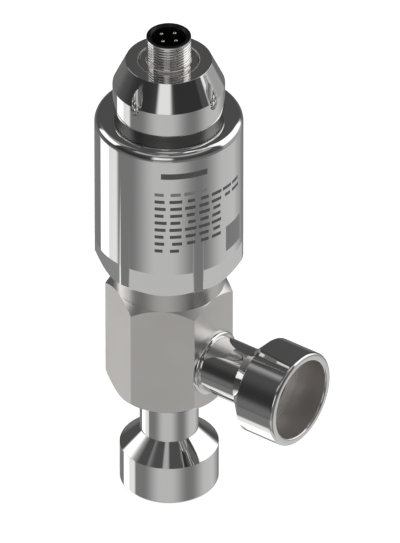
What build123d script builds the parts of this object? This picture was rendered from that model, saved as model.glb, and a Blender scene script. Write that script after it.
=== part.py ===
from build123d import *
from math import cos, radians, sin, sqrt
import os

# Angle-pattern electric regulating valve: two solder ends, a hexagon body with a seat and a
# throttling plug, and a claw-pole stepper motor that turns a nut round the valve's spindle.
# Millimetres, +Z up along the valve axis, origin at the centre of the bottom end's rim.
# The side end points along +X. Modelled closed, with the plug down on its seat.

os.makedirs("parts", exist_ok=True)

# Solder ends
tube_diameter = 22.2        # tube that is soldered into each end
tube_gap = 0.1              # radial room for the solder
socket_wall = 2.25
socket_depth = 9.3
socket_length = 11.9        # outside, from the rim to the cone
cone_length = 5.1
neck_diameter = 16.0
neck_bore = 12.0
rim_round = 0.6             # outer corner of the rim; the socket stays straight to its mouth
neck_seat = 3.0             # how far each neck is let into the body
bead_width = 1.2            # weld bead round each neck
bead_round = 0.9

# Where the ends lie
inlet_length = 31.6         # bottom rim to the body
port_rise = 12.6            # underside of the body to the side end's axis
outlet_reach = 44.35        # valve axis to the side rim

# Body
hex_across_flats = 30.0
hex_height = 33.4
collar_height = 6.9
spigot_diameter = 28.0      # thread that carries the actuator
spigot_height = 10.1
spigot_chamfer = 0.8
chamber_diameter = 18.0
web_thickness = 1.0         # under the seat
gland_bore = 21.0           # above the chamber

# Seat and plug
seat_gasket_thickness = 0.3
seat_height = 2.3
orifice_diameter = 9.0
seat_bevel = 0.7
seat_gap = 0.1              # left between plug and seat when closed
plug_diameter = 11.2
plug_tip_length = 2.4
plug_tip_diameter = 3.0
plug_head_height = 5.3
plug_hub_height = 4.0
plug_hub_diameter = 8.0
plug_bore_depth = 6.5

# Spindle and its guide
spindle_diameter = 5.0
thread_diameter = 6.0
thread_lead = 1.0
spindle_flats = 4.0         # across the two flats that stop it turning
running_gap = 0.05          # radial, wherever a shaft moves in a bore
seating_gap = 0.02          # radial, where one fixed piece sits in another
guide_height = 12.0
seal_section = 1.4
seal_groove_height = 2.5
gland_nut_height = 6.0
gland_nut_clearance = 0.5
spanner_hole_diameter = 2.4
spanner_hole_depth = 3.0
key_plate_thickness = 3.0
key_plate_diameter = 24.0
plug_room = 0.6             # over the plug when it is fully open

# Motor
full_steps = 210            # from closed to fully open
pole_pairs = 12
motor_diameter = 26.0
end_plate_thickness = 2.0
stack_height = 8.5          # one coil and its two claw rings
sheet_thickness = 0.9
claw_inner_diameter = 14.8
claw_thickness = 0.7
claw_root_width = 1.55
claw_tip_width = 0.95
claw_end_gap = 0.7
bobbin_wall = 0.6
bobbin_gap = 0.1
magnet_diameter = 14.0
magnet_end_gap = 1.0
hub_diameter = 10.0
journal_diameter = 8.4
hub_end_gap = 0.5
bearing_diameter = 12.0
bearing_stand = 0.2         # how far each bearing stands proud of its plate
spindle_top_room = 2.0      # over the spindle when it is fully open

# Actuator housing
gasket_thickness = 0.5
housing_diameter = 40.0
housing_across_flats = 36.0
housing_flat_height = 8.3
housing_chamfer = 2.0
housing_top_round = 2.7
motor_shoulder = 1.5        # ledge that holds the motor down
motor_room = 0.1
lead_room = 8.9             # space over the motor for the leads
housing_roof = 8.0
roof_thread_diameter = 24.0

# Terminal cap
cap_spigot_short = 1.0
cap_neck_diameter = 29.0
cap_neck_height = 2.1
cap_diameter = 30.2
cap_wall_height = 7.5
cap_edge_round = 1.0
cap_cone_height = 7.6
cap_top_diameter = 23.2
cap_bore = 18.0
cap_roof = 6.2
cap_ring_section = 1.3
flute_diameter = 3.3
flute_depth = 2.4
flute_rise = 4.9            # underside of the cap to the ball end of each flute
flute_count = 4

# Connector
connector_thread_diameter = 12.0
connector_thread_length = 7.6
connector_bore = 10.5
connector_lip_round = 0.35
collar_step = 0.2
connector_collar_height = 0.6
shank_diameter = 16.0
shank_gap = 0.1
shank_drop = 0.4            # shank face below the cap's top
flange_diameter = 17.6
flange_thickness = 1.5
shank_ring_section = 1.2
shank_ring_squeeze = 0.02
insert_gap = 0.05
insert_wall = 0.5
insert_lip_drop = 0.4
cup_depth = 6.0
insert_stand = 2.5          # insert below the connector's flange
key_width = 1.0
key_depth = 0.6
contact_diameter = 1.0
contact_circle_diameter = 5.0
contact_count = 4
contact_turn = -2.5         # degrees
contact_tip_drop = 0.3
contact_tail = 2.0
lead_diameter = 1.0
lead_circle_diameter = 17.0
lead_straight = 2.0

# Levels along the valve axis, from the bottom rim up
port_z = inlet_length + port_rise
hex_top = inlet_length + hex_height
collar_top = hex_top + collar_height
spigot_top = collar_top + spigot_height
pocket_floor = inlet_length + neck_seat + web_thickness
seat_floor = pocket_floor + seat_gasket_thickness
seat_top = seat_floor + seat_height

# The plug's cone runs beside the seat's bevel at the closed gap
socket_radius = tube_diameter / 2 + tube_gap
socket_outer_radius = socket_radius + socket_wall
neck_radius = neck_diameter / 2
passage_radius = neck_bore / 2
orifice_radius = orifice_diameter / 2
plug_radius = plug_diameter / 2
plug_lift = seat_gap * sqrt(2)
plug_nose_radius = orifice_radius - seat_gap * 2
plug_nose_z = seat_top - seat_bevel - seat_gap * 2 + plug_lift
plug_shoulder_z = plug_nose_z + plug_radius - plug_nose_radius
plug_tip_z = plug_nose_z - plug_tip_length
plug_head_top = plug_shoulder_z + plug_head_height
plug_top = plug_head_top + plug_hub_height

# Travel from the motor's steps: each pole pair gives four full steps a turn
steps_per_turn = 4 * pole_pairs
travel = thread_lead * full_steps / steps_per_turn
chamber_top = plug_top + travel + plug_room
guide_top = chamber_top + guide_height
gland_nut_top = guide_top + gland_nut_height

motor_floor = spigot_top
stack_floor = motor_floor + end_plate_thickness
stack_middle = stack_floor + stack_height
stack_top = stack_middle + stack_height
motor_top = stack_top + end_plate_thickness
hub_floor = motor_floor + hub_end_gap
hub_top = motor_top - hub_end_gap
spindle_top = hub_top - travel - spindle_top_room

housing_floor = collar_top + gasket_thickness
ledge_z = motor_top + motor_room
roof_floor = ledge_z + lead_room
housing_top = roof_floor + housing_roof
cap_floor = housing_top + cap_neck_height
cap_wall_top = cap_floor + cap_wall_height
cap_top = cap_wall_top + cap_cone_height
cap_roof_floor = cap_top - cap_roof
cap_spigot_floor = roof_floor + cap_spigot_short
shank_top = cap_top - shank_drop
connector_collar_top = shank_top + connector_collar_height
connector_top = connector_collar_top + connector_thread_length
insert_face = connector_top - cup_depth
flange_floor = cap_roof_floor - flange_thickness
insert_floor = flange_floor - insert_stand


def finish(part, name):
    """Labels a finished piece and writes its file."""
    part.label = name
    export_step(part, f"parts/{name}.step")


def ring(inner, outer, low, high):
    """A rectangle of a turned section, from radius inner to outer and from low to high."""
    with Locations(((inner + outer) / 2, (low + high) / 2)):
        Rectangle(outer - inner, high - low)


def solder_end_section(neck_length):
    """Half section of a solder end: x is the radius, y runs inwards from the rim."""
    end = socket_length + cone_length + neck_length
    return [
        (socket_radius, 0),
        (socket_outer_radius, 0),
        (socket_outer_radius, socket_length),
        (neck_radius, socket_length + cone_length),
        (neck_radius, end),
        (passage_radius, end),
        (passage_radius, socket_depth),
        (socket_radius, socket_depth),
    ]


def bead_section(root):
    """Half section of the weld bead on a neck, standing off the body's face at root."""
    with Locations((neck_radius + bead_width / 2, root - bead_width / 2)):
        bead = Rectangle(bead_width, bead_width)
    outer_corner = bead.vertices().sort_by(Axis.Y)[0:2].sort_by(Axis.X)[-1]
    fillet(outer_corner, radius=bead_round)


# Solder ends
outlet_rim = Plane(origin=(outlet_reach, 0, port_z), x_dir=(0, 0, 1), z_dir=(0, -1, 0))
outlet_axis = Axis((0, 0, port_z), (1, 0, 0))
hex_face = hex_across_flats / 2
inlet_neck = inlet_length + neck_seat - socket_length - cone_length
outlet_neck = outlet_reach - hex_face + neck_seat - socket_length - cone_length

with BuildPart() as inlet_nipple:
    with BuildSketch(Plane.XZ):
        Polygon(*solder_end_section(inlet_neck), align=None)
    revolve(axis=Axis.Z)
    rim_edges = inlet_nipple.edges().group_by(Axis.Z)[0]
    fillet(rim_edges.sort_by(SortBy.RADIUS)[-1], radius=rim_round)
finish(inlet_nipple.part, "inlet_nipple")

with BuildPart() as outlet_nipple:
    with BuildSketch(outlet_rim):
        Polygon(*solder_end_section(outlet_neck), align=None)
    revolve(axis=outlet_axis)
    rim_edges = outlet_nipple.edges().group_by(Axis.X)[-1]
    fillet(rim_edges.sort_by(SortBy.RADIUS)[-1], radius=rim_round)
finish(outlet_nipple.part, "outlet_nipple")

with BuildPart() as inlet_weld:
    with BuildSketch(Plane.XZ):
        bead_section(inlet_length)
    revolve(axis=Axis.Z)
finish(inlet_weld.part, "inlet_weld")

with BuildPart() as outlet_weld:
    with BuildSketch(outlet_rim):
        bead_section(outlet_reach - hex_face)
    revolve(axis=outlet_axis)
finish(outlet_weld.part, "outlet_weld")

# Valve body: hexagon bar turned down at both ends, with the chamber bored from the top
collar_radius = hex_face
spigot_radius = spigot_diameter / 2
chamber_radius = chamber_diameter / 2
gland_radius = gland_bore / 2
key_radius = key_plate_diameter / 2
key_floor = spigot_top - key_plate_thickness
hex_corner = hex_face * 2 / sqrt(3)
corner_rise = hex_corner - hex_face

with BuildPart() as valve_body:
    with BuildSketch(Plane.XY.offset(inlet_length)):
        RegularPolygon(hex_face, 6, major_radius=False, rotation=30)
    extrude(amount=hex_height)
    with BuildSketch(Plane.XZ):
        with BuildLine():
            Polyline(
                (0, inlet_length),
                (hex_face, inlet_length),
                (hex_corner, inlet_length + corner_rise),
                (hex_corner, hex_top - corner_rise),
                (hex_face, hex_top),
                (0, hex_top),
                close=True,
            )
        make_face()
    revolve(axis=Axis.Z, mode=Mode.INTERSECT)
    with BuildSketch(Plane.XY.offset(hex_top)):
        Circle(collar_radius)
    extrude(amount=collar_height)
    with BuildSketch(Plane.XY.offset(collar_top)):
        Circle(spigot_radius)
    extrude(amount=spigot_height)
    chamfer(valve_body.edges().group_by(Axis.Z)[-1], length=spigot_chamfer)
    with BuildSketch(Plane.XZ):
        ring(0, neck_radius, inlet_length, inlet_length + neck_seat)
        ring(0, passage_radius, inlet_length, pocket_floor)
        ring(0, chamber_radius, pocket_floor, chamber_top)
        ring(0, gland_radius, chamber_top, spigot_top)
        ring(0, key_radius, key_floor, spigot_top)
    revolve(axis=Axis.Z, mode=Mode.SUBTRACT)
    with BuildSketch(Plane.YZ.offset(hex_face)):
        with Locations((0, port_z)):
            Circle(neck_radius)
    extrude(amount=-neck_seat, mode=Mode.SUBTRACT)
    with BuildSketch(Plane.YZ):
        with Locations((0, port_z)):
            Circle(passage_radius)
    extrude(amount=hex_face, mode=Mode.SUBTRACT)
finish(valve_body.part, "valve_body")

# Seat, its gasket and the plug
with BuildPart() as seat_gasket:
    with BuildSketch(Plane.XZ):
        ring(passage_radius, chamber_radius - seating_gap, pocket_floor, seat_floor)
    revolve(axis=Axis.Z)
finish(seat_gasket.part, "seat_gasket")

with BuildPart() as seat_ring:
    with BuildSketch(Plane.XZ):
        ring(orifice_radius, chamber_radius - seating_gap, seat_floor, seat_top)
    revolve(axis=Axis.Z)
    bore_edges = seat_ring.edges().filter_by(GeomType.CIRCLE).group_by(SortBy.RADIUS)[0]
    chamfer(bore_edges.sort_by(Axis.Z)[-1], length=seat_bevel)
finish(seat_ring.part, "seat_ring")

spindle_radius = spindle_diameter / 2
plug_hub_radius = plug_hub_diameter / 2
plug_tip_radius = plug_tip_diameter / 2
plug_bore_floor = plug_top - plug_bore_depth
nose_bulge_radius = (plug_nose_radius + plug_tip_radius) / 2 + 0.2 * plug_tip_length
with BuildPart() as valve_plug:
    with BuildSketch(Plane.XZ):
        with BuildLine():
            ThreePointArc(
                (plug_tip_radius, plug_tip_z),
                (nose_bulge_radius, (plug_tip_z + plug_nose_z) / 2),
                (plug_nose_radius, plug_nose_z),
            )
            Polyline(
                (plug_nose_radius, plug_nose_z),
                (plug_radius, plug_shoulder_z),
                (plug_radius, plug_head_top),
                (plug_hub_radius, plug_head_top),
                (plug_hub_radius, plug_top),
                (spindle_radius, plug_top),
                (spindle_radius, plug_bore_floor),
                (0, plug_bore_floor),
                (0, plug_tip_z),
                (plug_tip_radius, plug_tip_z),
            )
        make_face()
    revolve(axis=Axis.Z)
finish(valve_plug.part, "valve_plug")

# Spindle: round in the guide, flatted in the key plate, threaded in the rotor's nut
thread_radius = thread_diameter / 2
thread_floor = spigot_top + hub_end_gap - running_gap
flats_floor = key_floor - travel - spindle_top_room
with BuildPart() as spindle:
    with BuildSketch(Plane.XY.offset(plug_bore_floor)):
        Circle(spindle_radius - seating_gap)
    extrude(amount=plug_bore_depth)
    with BuildSketch(Plane.XY.offset(plug_top)):
        Circle(spindle_radius)
    extrude(amount=flats_floor - plug_top)
    with BuildSketch(Plane.XY.offset(flats_floor)):
        Circle(spindle_radius)
        Rectangle(spindle_flats, spindle_diameter, mode=Mode.INTERSECT)
    extrude(amount=thread_floor - flats_floor)
    with BuildSketch(Plane.XY.offset(thread_floor)):
        Circle(thread_radius)
    extrude(amount=spindle_top - thread_floor)
    chamfer(spindle.edges().group_by(Axis.Z)[-1], length=thread_lead / 2)
finish(spindle.part, "spindle")

# Guide bush, stem seal and the nut that holds them down
seal_radius = seal_section / 2
seal_circle = spindle_radius + running_gap + seal_radius
groove_radius = seal_circle + seal_radius + running_gap
groove_floor = guide_top - seal_groove_height
with BuildPart() as guide_bush:
    with BuildSketch(Plane.XZ):
        ring(spindle_radius + running_gap, gland_radius - seating_gap, chamber_top, guide_top)
        with Locations((groove_radius / 2, guide_top - seal_groove_height / 2)):
            Rectangle(groove_radius, seal_groove_height, mode=Mode.SUBTRACT)
    revolve(axis=Axis.Z)
finish(guide_bush.part, "guide_bush")

with BuildPart() as stem_seal:
    with BuildSketch(Plane.XZ):
        with Locations((seal_circle, groove_floor + seal_radius + seating_gap)):
            Circle(seal_radius)
    revolve(axis=Axis.Z)
finish(stem_seal.part, "stem_seal")

nut_bore_radius = spindle_radius + gland_nut_clearance
with BuildPart() as gland_nut:
    with BuildSketch(Plane.XZ):
        ring(nut_bore_radius, gland_radius - seating_gap, guide_top, gland_nut_top)
    revolve(axis=Axis.Z)
    with BuildSketch(Plane.XY.offset(gland_nut_top)):
        with PolarLocations((nut_bore_radius + gland_radius) / 2, 2):
            Circle(spanner_hole_diameter / 2)
    extrude(amount=-spanner_hole_depth, mode=Mode.SUBTRACT)
finish(gland_nut.part, "gland_nut")

with BuildPart() as key_plate:
    with BuildSketch(Plane.XY.offset(key_floor)):
        Circle(key_radius - seating_gap)
        with BuildSketch(mode=Mode.SUBTRACT):
            Circle(spindle_radius + running_gap)
            Rectangle(
                spindle_flats + 2 * running_gap,
                2 * spindle_diameter,
                mode=Mode.INTERSECT,
            )
    extrude(amount=key_plate_thickness)
finish(key_plate.part, "key_plate")

# Motor end plates and bearings
motor_radius = motor_diameter / 2
bearing_radius = bearing_diameter / 2
journal_radius = journal_diameter / 2
plate_levels = {"motor_base": motor_floor, "motor_end_plate": stack_top}
for plate_name, plate_floor in plate_levels.items():
    with BuildPart() as end_plate:
        with BuildSketch(Plane.XY.offset(plate_floor)):
            Circle(motor_radius)
            Circle(bearing_radius, mode=Mode.SUBTRACT)
        extrude(amount=end_plate_thickness)
    finish(end_plate.part, plate_name)

bearing_height = end_plate_thickness + bearing_stand
bearing_levels = {"lower_bearing": motor_floor, "upper_bearing": stack_top - bearing_stand}
for bearing_name, bearing_floor in bearing_levels.items():
    with BuildPart() as bearing:
        with BuildSketch(Plane.XY.offset(bearing_floor)):
            Circle(bearing_radius - seating_gap)
            Circle(journal_radius + running_gap, mode=Mode.SUBTRACT)
        extrude(amount=bearing_height)
    finish(bearing.part, bearing_name)

# Rotor: the hub is the spindle's nut and carries the ring magnet
hub_radius = hub_diameter / 2
hub_body_floor = stack_floor + bearing_stand + motor_room
hub_body_top = stack_top - bearing_stand - motor_room
with BuildPart() as rotor_hub:
    with BuildSketch(Plane.XZ):
        ring(thread_radius + running_gap, journal_radius, hub_floor, hub_top)
        ring(thread_radius + running_gap, hub_radius, hub_body_floor, hub_body_top)
    revolve(axis=Axis.Z)
finish(rotor_hub.part, "rotor_hub")

magnet_radius = magnet_diameter / 2
magnet_floor = stack_floor + magnet_end_gap
magnet_top = stack_top - magnet_end_gap
with BuildPart() as rotor_magnet:
    with BuildSketch(Plane.XZ):
        ring(hub_radius + seating_gap, magnet_radius, magnet_floor, magnet_top)
    revolve(axis=Axis.Z)
finish(rotor_magnet.part, "rotor_magnet")

# Stator: each coil sits between two rings of claws that reach into each other
claw_inner = claw_inner_diameter / 2
claw_outer = claw_inner + claw_thickness
claw_length = stack_height - 2 * sheet_thickness - claw_end_gap
claw_pitch = 360 / pole_pairs
sheet_outer = motor_radius - sheet_thickness


def claw_ring(root, upward, turn):
    """Tapered claws standing on the sheet at root, turned by a number of degrees."""
    way = 1 if upward else -1
    with BuildPart() as claws:
        for number in range(pole_pairs):
            angle = radians(turn + number * claw_pitch)
            out = Vector(cos(angle), sin(angle), 0)
            start = out * (claw_inner - claw_thickness) + Vector(0, 0, root)
            face = Plane(origin=start, x_dir=(-sin(angle), cos(angle), 0), z_dir=out)
            with BuildSketch(face):
                with BuildLine():
                    Polyline(
                        (-claw_root_width / 2, 0),
                        (claw_root_width / 2, 0),
                        (claw_tip_width / 2, way * claw_length),
                        (-claw_tip_width / 2, way * claw_length),
                        close=True,
                    )
                make_face()
            extrude(amount=3 * claw_thickness)
        with BuildSketch(Plane.XY.offset(root)):
            Circle(claw_outer)
            Circle(claw_inner, mode=Mode.SUBTRACT)
        extrude(amount=way * stack_height, mode=Mode.INTERSECT)
    return claws.part


lower_cup_claws = claw_ring(stack_floor + sheet_thickness, True, 0)
lower_pole_claws = claw_ring(stack_middle - sheet_thickness, False, claw_pitch / 2)
upper_pole_claws = claw_ring(stack_middle + sheet_thickness, True, claw_pitch / 4)
upper_cup_claws = claw_ring(stack_top - sheet_thickness, False, claw_pitch * 3 / 4)

with BuildPart() as lower_stator_cup:
    with BuildSketch(Plane.XZ):
        ring(claw_inner, motor_radius, stack_floor, stack_floor + sheet_thickness)
        ring(sheet_outer, motor_radius, stack_floor, stack_middle)
    revolve(axis=Axis.Z)
    add(lower_cup_claws)
finish(lower_stator_cup.part, "lower_stator_cup")

with BuildPart() as upper_stator_cup:
    with BuildSketch(Plane.XZ):
        ring(claw_inner, motor_radius, stack_top - sheet_thickness, stack_top)
        ring(sheet_outer, motor_radius, stack_middle, stack_top)
    revolve(axis=Axis.Z)
    add(upper_cup_claws)
finish(upper_stator_cup.part, "upper_stator_cup")

pole_sheets = {
    "lower_pole_ring": (stack_middle - sheet_thickness, lower_pole_claws),
    "upper_pole_ring": (stack_middle, upper_pole_claws),
}
for sheet_name, (sheet_floor, sheet_claws) in pole_sheets.items():
    with BuildPart() as pole_ring:
        with BuildSketch(Plane.XY.offset(sheet_floor)):
            Circle(sheet_outer - seating_gap)
            Circle(claw_inner, mode=Mode.SUBTRACT)
        extrude(amount=sheet_thickness)
        add(sheet_claws)
    finish(pole_ring.part, sheet_name)

# Bobbins and windings
barrel_inner = claw_outer + bobbin_gap
barrel_outer = barrel_inner + bobbin_wall
flange_outer = sheet_outer - bobbin_gap
winding_outer = flange_outer - bobbin_wall
bobbin_height = stack_height - 2 * sheet_thickness
bobbin_levels = {"lower": stack_floor + sheet_thickness, "upper": stack_middle + sheet_thickness}
for side, bobbin_floor in bobbin_levels.items():
    bobbin_top = bobbin_floor + bobbin_height
    with BuildPart() as bobbin:
        with BuildSketch(Plane.XZ):
            ring(barrel_inner, barrel_outer, bobbin_floor, bobbin_top)
            ring(barrel_inner, flange_outer, bobbin_floor, bobbin_floor + bobbin_wall)
            ring(barrel_inner, flange_outer, bobbin_top - bobbin_wall, bobbin_top)
        revolve(axis=Axis.Z)
    finish(bobbin.part, f"{side}_bobbin")

    with BuildPart() as winding:
        with BuildSketch(Plane.XZ):
            ring(barrel_outer, winding_outer, bobbin_floor + bobbin_wall, bobbin_top - bobbin_wall)
        revolve(axis=Axis.Z)
    finish(winding.part, f"{side}_winding")

# Actuator housing, screwed down on the body's spigot over a gasket
housing_radius = housing_diameter / 2
thread_bore_radius = spigot_radius + seating_gap
motor_bore_radius = motor_radius + motor_room
ledge_radius = motor_bore_radius - motor_shoulder
roof_thread_radius = roof_thread_diameter / 2
cap_groove_radius = roof_thread_radius + cap_ring_section
with BuildPart() as body_gasket:
    with BuildSketch(Plane.XZ):
        ring(spigot_radius + seating_gap, collar_radius, collar_top, housing_floor)
    revolve(axis=Axis.Z)
finish(body_gasket.part, "body_gasket")

with BuildPart() as actuator_housing:
    with BuildSketch(Plane.XY.offset(housing_floor)):
        Circle(housing_radius)
    extrude(amount=housing_top - housing_floor)
    fillet(actuator_housing.edges().group_by(Axis.Z)[-1], radius=housing_top_round)
    chamfer(actuator_housing.edges().group_by(Axis.Z)[0], length=housing_chamfer)
    with BuildSketch(Plane.XY.offset(housing_floor)):
        Circle(housing_diameter)
        RegularPolygon(
            housing_across_flats / 2, 6, major_radius=False, rotation=30, mode=Mode.SUBTRACT
        )
    extrude(amount=housing_flat_height, mode=Mode.SUBTRACT)
    with BuildSketch(Plane.XZ):
        ring(0, thread_bore_radius, housing_floor, spigot_top + motor_room)
        ring(0, motor_bore_radius, spigot_top, ledge_z)
        ring(0, ledge_radius, ledge_z, roof_floor)
        ring(0, roof_thread_radius + seating_gap, roof_floor, housing_top)
        ring(0, cap_groove_radius + seating_gap, housing_top - cap_ring_section, housing_top)
    revolve(axis=Axis.Z, mode=Mode.SUBTRACT)
finish(actuator_housing.part, "actuator_housing")

# Terminal cap: a turned cone on a short neck, with ball-ended flutes for a hook spanner
cap_radius = cap_diameter / 2
cap_top_radius = cap_top_diameter / 2
cap_neck_radius = cap_neck_diameter / 2
cap_bore_radius = cap_bore / 2
shank_radius = shank_diameter / 2
flute_radius = flute_diameter / 2
flute_circle = cap_radius - flute_depth + flute_radius
flute_ball_z = cap_floor + flute_rise + flute_radius
with BuildPart() as terminal_cap:
    with BuildSketch(Plane.XZ):
        with BuildLine():
            Polyline(
                (0, cap_floor),
                (cap_radius, cap_floor),
                (cap_radius, cap_wall_top),
                (cap_top_radius, cap_top),
                (0, cap_top),
                close=True,
            )
        make_face()
    revolve(axis=Axis.Z)
    fillet(terminal_cap.edges().group_by(Axis.Z)[0], radius=cap_edge_round)
    with BuildSketch(Plane.XY.offset(flute_ball_z)):
        with PolarLocations(flute_circle, flute_count):
            Circle(flute_radius)
    extrude(amount=cap_top - flute_ball_z, mode=Mode.SUBTRACT)
    with Locations((0, 0, flute_ball_z)):
        with PolarLocations(flute_circle, flute_count):
            Sphere(flute_radius, mode=Mode.SUBTRACT)
    with BuildSketch(Plane.XY.offset(housing_top)):
        Circle(cap_neck_radius)
    extrude(amount=cap_neck_height)
    with BuildSketch(Plane.XY.offset(cap_spigot_floor)):
        Circle(roof_thread_radius)
    extrude(amount=housing_top - cap_spigot_floor)
    with BuildSketch(Plane.XZ):
        ring(0, cap_bore_radius, cap_spigot_floor, cap_roof_floor)
        ring(0, shank_radius + shank_gap, cap_roof_floor, cap_top)
    revolve(axis=Axis.Z, mode=Mode.SUBTRACT)
finish(terminal_cap.part, "terminal_cap")

cap_ring_radius = cap_ring_section / 2
with BuildPart() as cap_o_ring:
    with BuildSketch(Plane.XZ):
        with Locations((roof_thread_radius + cap_ring_radius, housing_top - cap_ring_radius)):
            Circle(cap_ring_radius - seating_gap)
    revolve(axis=Axis.Z)
finish(cap_o_ring.part, "cap_o_ring")

# Connector: a threaded steel shell that holds a moulded insert with round contacts
connector_radius = connector_thread_diameter / 2
connector_bore_radius = connector_bore / 2
connector_collar_radius = connector_radius + collar_step
flange_radius = flange_diameter / 2
shank_ring_radius = shank_ring_section / 2
shank_ring_circle = shank_radius - shank_ring_radius + shank_ring_squeeze
shank_ring_z = (cap_roof_floor + shank_top) / 2
with BuildPart() as connector_shell:
    with BuildSketch(Plane.XZ):
        ring(0, flange_radius, flange_floor, cap_roof_floor)
        ring(0, shank_radius, cap_roof_floor, shank_top)
        ring(0, connector_collar_radius, shank_top, connector_collar_top)
        ring(0, connector_radius, connector_collar_top, connector_top)
    revolve(axis=Axis.Z)
    fillet(connector_shell.edges().group_by(Axis.Z)[-1], radius=connector_lip_round)
    with BuildSketch(Plane.XZ):
        ring(0, connector_bore_radius, flange_floor, connector_top)
        groove_inner = shank_ring_circle - shank_ring_radius - seating_gap
        groove_half = shank_ring_radius + seating_gap
        ring(groove_inner, shank_radius, shank_ring_z - groove_half, shank_ring_z + groove_half)
    revolve(axis=Axis.Z, mode=Mode.SUBTRACT)
finish(connector_shell.part, "connector_shell")

with BuildPart() as connector_o_ring:
    with BuildSketch(Plane.XZ):
        with Locations((shank_ring_circle, shank_ring_z)):
            Circle(shank_ring_radius)
    revolve(axis=Axis.Z)
finish(connector_o_ring.part, "connector_o_ring")

insert_radius = connector_bore_radius - insert_gap
contact_radius = contact_diameter / 2
insert_lip = connector_top - insert_lip_drop
with BuildPart() as connector_insert:
    with BuildSketch(Plane.XY.offset(insert_floor)):
        Circle(insert_radius)
    extrude(amount=insert_lip - insert_floor)
    with BuildSketch(Plane.XY.offset(insert_face)):
        Circle(insert_radius - insert_wall)
        with Locations((0, insert_radius - insert_wall)):
            Rectangle(key_width, 2 * key_depth, mode=Mode.SUBTRACT)
    extrude(amount=insert_lip - insert_face, mode=Mode.SUBTRACT)
    with BuildSketch(Plane.XY.offset(insert_floor)):
        with PolarLocations(contact_circle_diameter / 2, contact_count, start_angle=contact_turn):
            Circle(contact_radius + seating_gap)
    extrude(amount=insert_face - insert_floor, mode=Mode.SUBTRACT)
finish(connector_insert.part, "connector_insert")

contact_floor = insert_floor - contact_tail
contact_top = connector_top - contact_tip_drop
with BuildPart() as contact_pins:
    with BuildSketch(Plane.XY.offset(contact_floor)):
        with PolarLocations(contact_circle_diameter / 2, contact_count, start_angle=contact_turn):
            Circle(contact_radius)
    extrude(amount=contact_top - contact_floor)
    fillet(contact_pins.edges().group_by(Axis.Z)[-1], radius=contact_radius * 0.8)
finish(contact_pins.part, "contact_pins")

# Leads from the motor's end plate up to the contacts
lead_bend_low = motor_top + lead_straight
lead_bend_high = contact_floor - lead_straight
with BuildPart() as motor_leads:
    for number in range(contact_count):
        angle = radians(contact_turn + number * 360 / contact_count)
        out = Vector(cos(angle), sin(angle), 0)
        with BuildLine():
            lead_path = FilletPolyline(
                out * (lead_circle_diameter / 2) + Vector(0, 0, motor_top),
                out * (lead_circle_diameter / 2) + Vector(0, 0, lead_bend_low),
                out * (contact_circle_diameter / 2) + Vector(0, 0, lead_bend_high),
                out * (contact_circle_diameter / 2) + Vector(0, 0, contact_floor),
                radius=3 * lead_diameter,
            )
        with BuildSketch(Plane(origin=lead_path @ 0, z_dir=lead_path % 0)):
            Circle(lead_diameter / 2)
        sweep()
finish(motor_leads.part, "motor_leads")
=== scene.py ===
import math

import bmesh
import bpy
from mathutils import Matrix, Vector


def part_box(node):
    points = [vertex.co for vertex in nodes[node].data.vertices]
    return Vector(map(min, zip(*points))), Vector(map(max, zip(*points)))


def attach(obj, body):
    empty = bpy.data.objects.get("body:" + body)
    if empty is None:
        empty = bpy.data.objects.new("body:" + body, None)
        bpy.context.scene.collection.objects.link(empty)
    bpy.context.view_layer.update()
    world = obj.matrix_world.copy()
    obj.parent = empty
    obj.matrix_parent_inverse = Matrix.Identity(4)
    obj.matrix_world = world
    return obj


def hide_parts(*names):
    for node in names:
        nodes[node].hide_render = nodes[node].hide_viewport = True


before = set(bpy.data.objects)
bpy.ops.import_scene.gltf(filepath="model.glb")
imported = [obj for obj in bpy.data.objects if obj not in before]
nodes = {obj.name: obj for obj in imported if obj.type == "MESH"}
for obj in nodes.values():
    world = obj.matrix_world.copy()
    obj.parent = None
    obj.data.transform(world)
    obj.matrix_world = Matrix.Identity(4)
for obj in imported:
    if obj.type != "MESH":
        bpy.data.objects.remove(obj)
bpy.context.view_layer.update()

MM = 0.001
TURN = 384                      # steps round a turned piece
SHARP = math.radians(34)        # edges that turn more than this stay crisp
WELD = 1e-8                     # points nearer than this are one point, m

# Sizes in millimetres. They are the part's own, except for some small rounds and edges
EDGE = 0.12                     # broken edge of a turned piece
GUIDE = 0.03                    # distance of the loop that holds the shading beside an edge
PORT_Z = 44.2
OUTLET_REACH = 44.35
HEX_FACE = 15.0
BODY_FLOOR, HEX_TOP, COLLAR_TOP, SPIGOT_TOP = 31.6, 65.0, 71.9, 82.0
SPIGOT_RADIUS, SPIGOT_CHAMFER, KEY_SEAT_RADIUS, KEY_SEAT_DEPTH = 14.0, 0.8, 12.0, 3.0
GLAND_RADIUS, CHAMBER_RADIUS, POCKET_FLOOR = 10.5, 9.0, 35.6
PORT_CUT_START, PORT_CUT_END = -5.0, 3.0   # outside the side rim, and short of the axis
SOCKET_RADIUS, SOCKET_OUTER, SOCKET_DEPTH, SOCKET_LENGTH = 11.2, 13.45, 9.3, 11.9
CONE_LENGTH, NECK_RADIUS, PASSAGE_RADIUS, NECK_SEAT = 5.1, 8.0, 6.0, 3.0
RIM_ROUND, RIM_INNER_ROUND, BEAD_WIDTH, BEAD_ROUND = 0.9, 0.5, 1.2, 0.9
HOUSING_FLOOR, HOUSING_TOP, HOUSING_RADIUS = 72.4, 120.0, 20.0
WRENCH_FACE, WRENCH_HEIGHT, HOUSING_CHAMFER, HOUSING_ROUND = 18.0, 8.3, 2.0, 2.7
RING_SEAT_RADIUS, RING_SEAT_DEPTH, ROOF_BORE_RADIUS, ROOF_FLOOR = 13.3, 1.3, 12.02, 112.0
LEAD_ROOM_RADIUS, MOTOR_LEDGE, MOTOR_ROOM_RADIUS = 11.6, 103.1, 13.1
SPIGOT_BORE_RADIUS, SPIGOT_ROOM = 14.02, 0.1
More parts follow.
